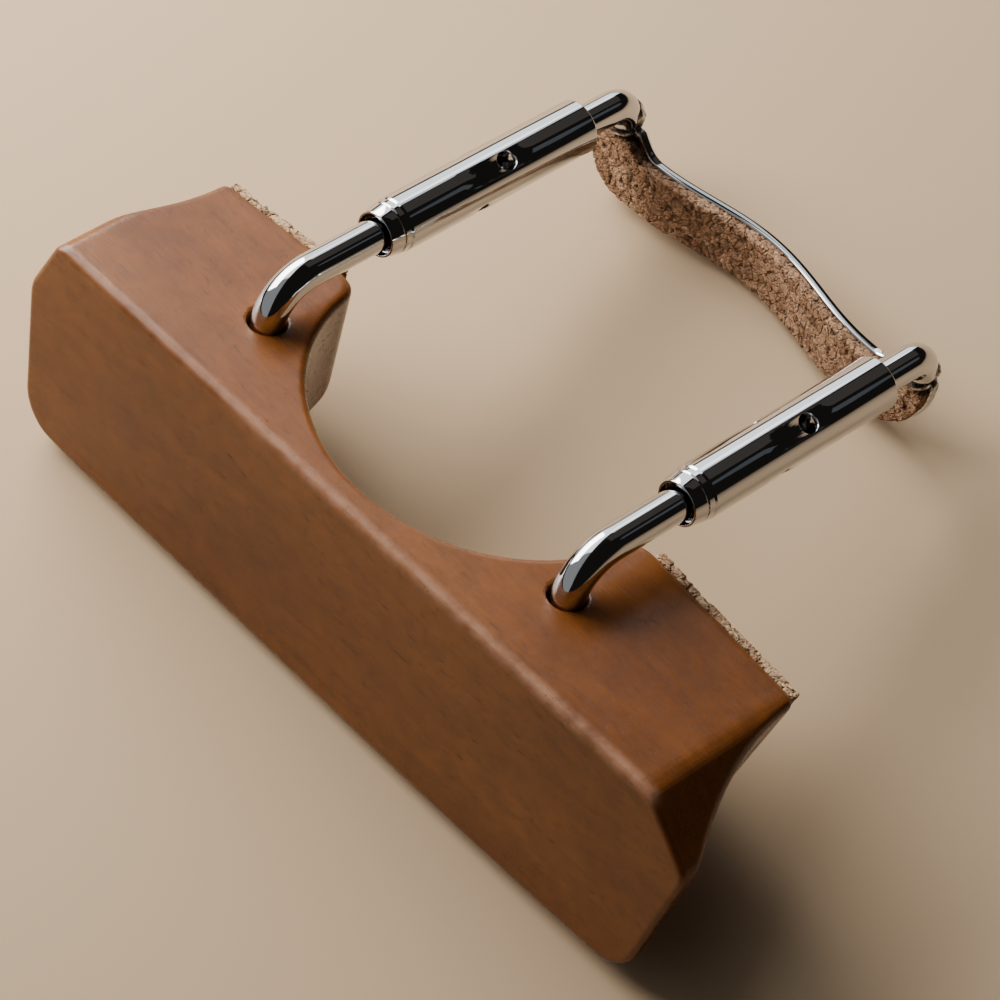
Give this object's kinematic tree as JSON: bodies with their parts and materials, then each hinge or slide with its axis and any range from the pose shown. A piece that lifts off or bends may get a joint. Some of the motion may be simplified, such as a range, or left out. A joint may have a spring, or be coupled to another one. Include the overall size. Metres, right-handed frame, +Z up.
{
  "type": "violin chin rest",
  "caption": "Wooden bar-type chin rest that bridges the tailpiece, with a chromed turnbuckle clamp whose barrels draw a cork-lined foot towards the block.",
  "frame": {"origin": "on the floor under the middle of the whole object as it lies, at rest", "axes": "+X along the wooden block towards its longer end, +Y from the block towards the foot of the clamp, +Z up"},
  "size_m": [0.089, 0.065, 0.0263],
  "materials": {
    "block_wood": "oiled satin",
    "pad_cork": "agglomerated cork sheet",
    "lining_cork": "agglomerated cork sheet",
    "chrome": "bright plated"
  },
  "bodies": {
    "block": {"chin_block": "block_wood", "left_pad_cork": "pad_cork", "right_pad_cork": "pad_cork", "left_leg_rod": "chrome", "right_leg_rod": "chrome"},
    "left_screw": {"left_barrel": "chrome"},
    "right_screw": {"right_barrel": "chrome"},
    "foot": {"left_foot_post": "chrome", "right_foot_post": "chrome", "foot_plate": "chrome", "foot_cork": "lining_cork"}
  },
  "joints": [
    {"name": "left_barrel_spin", "type": "hinge", "parent": "block", "child": "left_screw", "pos_m": [-0.02336, 0.01113, 0.01763], "axis": [0, 0.953, -0.3031], "range_deg": [-361, 1441]},
    {"name": "right_barrel_spin", "type": "hinge", "parent": "block", "child": "right_screw", "pos_m": [0.01764, 0.01113, 0.01763], "axis": [0, 0.953, -0.3031], "range_deg": [-361, 1441]},
    {"name": "foot_travel", "type": "slide", "parent": "block", "child": "foot", "axis": [0, 0.953, -0.3031], "range_m": [-0.0015, 0.006]}
  ],
  "couplings": [
    {"joint": "left_barrel_spin", "follows": "foot_travel", "rad_per_m": 4188.8},
    {"joint": "right_barrel_spin", "follows": "foot_travel", "rad_per_m": 4188.8}
  ]
}
